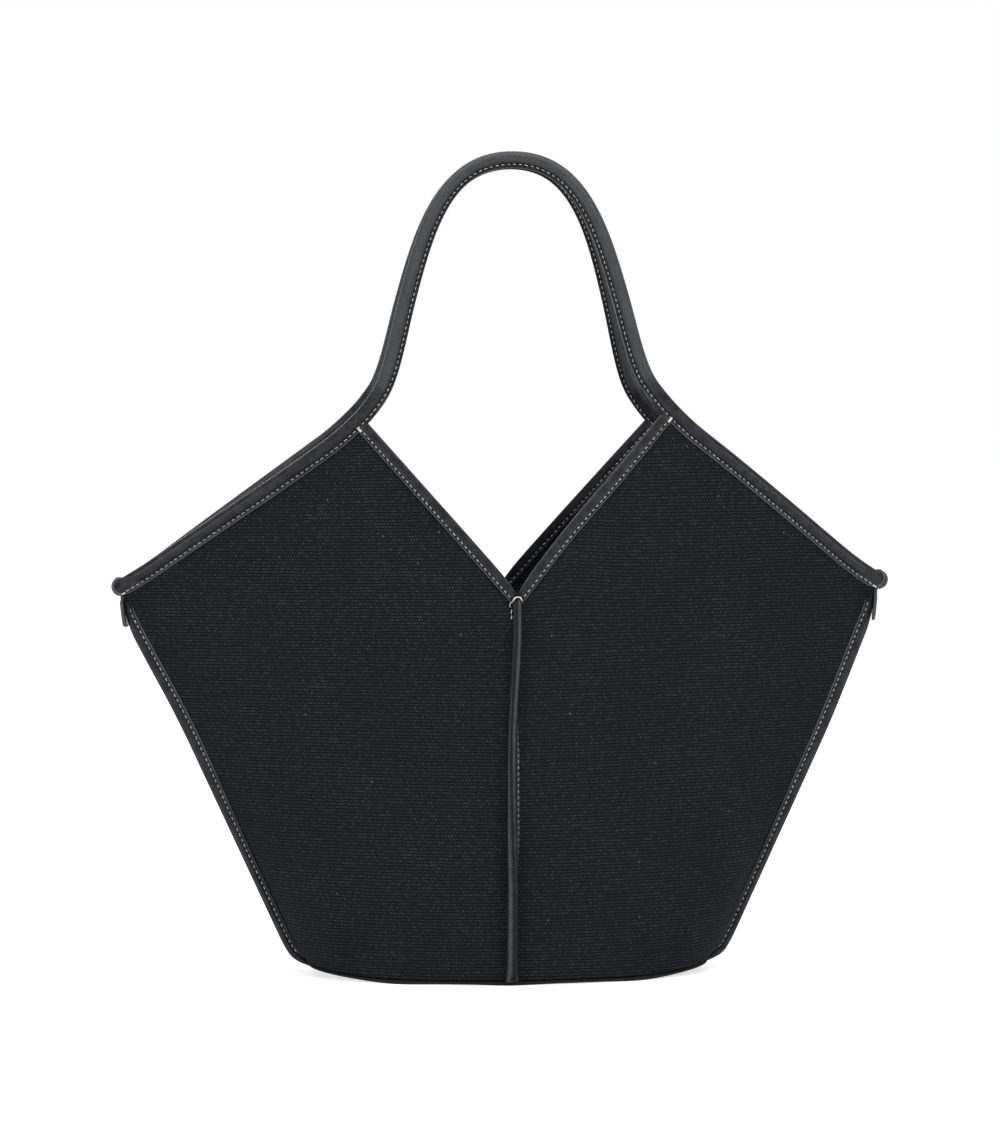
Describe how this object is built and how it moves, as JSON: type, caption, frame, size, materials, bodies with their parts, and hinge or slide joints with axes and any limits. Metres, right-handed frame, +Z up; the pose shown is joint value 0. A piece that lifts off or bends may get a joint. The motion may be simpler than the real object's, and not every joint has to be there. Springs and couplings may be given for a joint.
{
  "type": "tote bag",
  "caption": "Open canvas tote with a V-notched mouth, oval leather base, folded leather seam bindings and rolled leather handles that run down into the top edges.",
  "frame": {"origin": "on the floor under the middle of the oval base", "axes": "+X to the right seen from the front, +Y towards the back, +Z up through the handles"},
  "size_m": [0.4498, 0.1494, 0.4747],
  "materials": {
    "canvas": "matt, coarse woven, near black with a slight blue cast",
    "leather": "satin, fine grain, charcoal with paler worn edges",
    "cord": "matt twisted cord, hidden",
    "board": "matt bonded leather board"
  },
  "bodies": {
    "bag": {"front_left_panel": "canvas", "front_right_panel": "canvas", "back_left_panel": "canvas", "back_right_panel": "canvas", "front_left_notch_binding": "leather", "front_right_notch_binding": "leather", "back_left_notch_binding": "leather", "back_right_notch_binding": "leather", "front_left_rail_cover": "leather", "front_right_rail_cover": "leather", "back_left_rail_cover": "leather", "back_right_rail_cover": "leather", "front_left_rail_core": "cord", "front_right_rail_core": "cord", "back_left_rail_core": "cord", "back_right_rail_core": "cord", "front_seam_binding": "leather", "back_seam_binding": "leather", "left_seam_binding": "leather", "right_seam_binding": "leather", "base_panel": "leather", "base_board": "board"},
    "front_handle": {"front_handle_cover": "leather", "front_handle_core": "cord"},
    "back_handle": {"back_handle_cover": "leather", "back_handle_core": "cord"},
    "left_tab": {"left_corner_tab": "leather"},
    "right_tab": {"right_corner_tab": "leather"}
  },
  "joints": [
    {"name": "front_handle_fold", "type": "hinge", "parent": "bag", "child": "front_handle", "pos_m": [0, -0.04478, 0.3314], "axis": [1, 0, 0], "range_deg": [0, 150]},
    {"name": "back_handle_fold", "type": "hinge", "parent": "bag", "child": "back_handle", "pos_m": [0, 0.04478, 0.3314], "axis": [-1, 0, 0], "range_deg": [0, 150]},
    {"name": "left_tab_swing", "type": "hinge", "parent": "bag", "child": "left_tab", "pos_m": [-0.21882, 0, 0.21802], "axis": [0, 1, 0], "range_deg": [-3, 75]},
    {"name": "right_tab_swing", "type": "hinge", "parent": "bag", "child": "right_tab", "pos_m": [0.21882, 0, 0.21802], "axis": [0, -1, 0], "range_deg": [-3, 75]}
  ]
}
